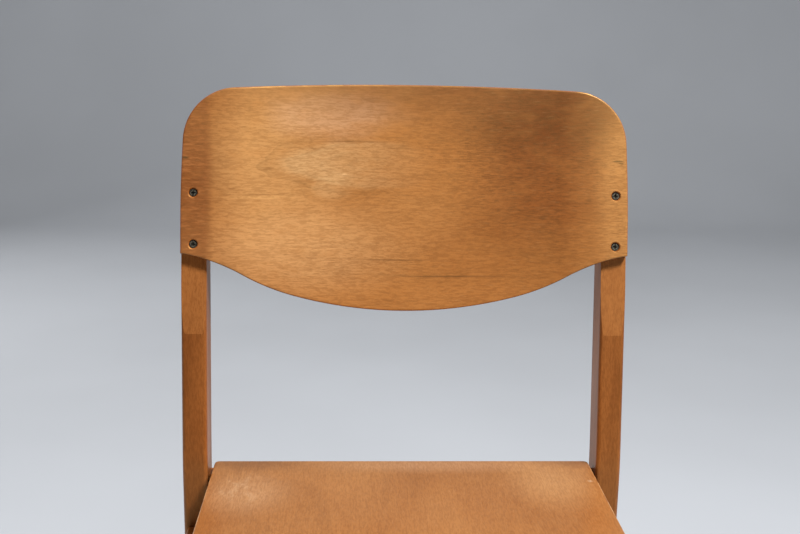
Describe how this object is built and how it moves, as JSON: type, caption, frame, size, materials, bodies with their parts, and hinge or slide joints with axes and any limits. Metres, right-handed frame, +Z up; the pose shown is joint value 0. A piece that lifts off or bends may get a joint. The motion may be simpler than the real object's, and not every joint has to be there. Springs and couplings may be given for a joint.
{
  "type": "wooden choir chair",
  "caption": "Armless wooden choir chair with a solid beech frame, a moulded plywood seat that rolls over at the front, and a curved plywood backrest screwed to raked uprights.",
  "frame": {"origin": "middle of the chair's outline on the floor, under the four glides", "axes": "+Z up, the chair faces -Y, +X to the right as seen from the front"},
  "size_m": [0.46, 0.4754, 0.8305],
  "materials": {
    "frame_beech": "satin lacquer",
    "back_plywood": "satin lacquer",
    "seat_plywood": "worn satin lacquer",
    "dowel_beech": "raw",
    "steel": "dull",
    "glide_plastic": "matt"
  },
  "bodies": {
    "root": {"back_panel": "back_plywood", "seat_panel": "seat_plywood", "front_rail": "frame_beech", "rear_rail": "frame_beech", "rear_leg_left": "frame_beech", "rear_leg_right": "frame_beech", "front_leg_left": "frame_beech", "front_leg_right": "frame_beech", "side_rail_left": "frame_beech", "side_rail_right": "frame_beech", "seat_bearer_left": "frame_beech", "seat_bearer_right": "frame_beech", "glide_rear_left": "glide_plastic", "glide_rear_right": "glide_plastic", "glide_front_left": "glide_plastic", "glide_front_right": "glide_plastic", "glide_pin_rear_left": "steel", "glide_pin_rear_right": "steel", "glide_pin_front_left": "steel", "glide_pin_front_right": "steel", "back_screw_left_lower": "steel", "back_screw_left_upper": "steel", "back_screw_right_lower": "steel", "back_screw_right_upper": "steel", "seat_screw_left_rear": "steel", "seat_screw_left_front": "steel", "seat_screw_right_rear": "steel", "seat_screw_right_front": "steel", "dowel_rear_rail_left_lower": "dowel_beech", "dowel_rear_rail_left_upper": "dowel_beech", "dowel_rear_rail_right_lower": "dowel_beech", "dowel_rear_rail_right_upper": "dowel_beech", "dowel_front_rail_left_lower": "dowel_beech", "dowel_front_rail_left_upper": "dowel_beech", "dowel_front_rail_right_lower": "dowel_beech", "dowel_front_rail_right_upper": "dowel_beech", "dowel_side_rail_left_rear_lower": "dowel_beech", "dowel_side_rail_left_rear_upper": "dowel_beech", "dowel_side_rail_left_front_lower": "dowel_beech", "dowel_side_rail_left_front_upper": "dowel_beech", "dowel_side_rail_right_rear_lower": "dowel_beech", "dowel_side_rail_right_rear_upper": "dowel_beech", "dowel_side_rail_right_front_lower": "dowel_beech", "dowel_side_rail_right_front_upper": "dowel_beech", "dowel_seat_bearer_left_rear": "dowel_beech", "dowel_seat_bearer_left_front": "dowel_beech", "dowel_seat_bearer_right_rear": "dowel_beech", "dowel_seat_bearer_right_front": "dowel_beech"}
  },
  "joints": []
}
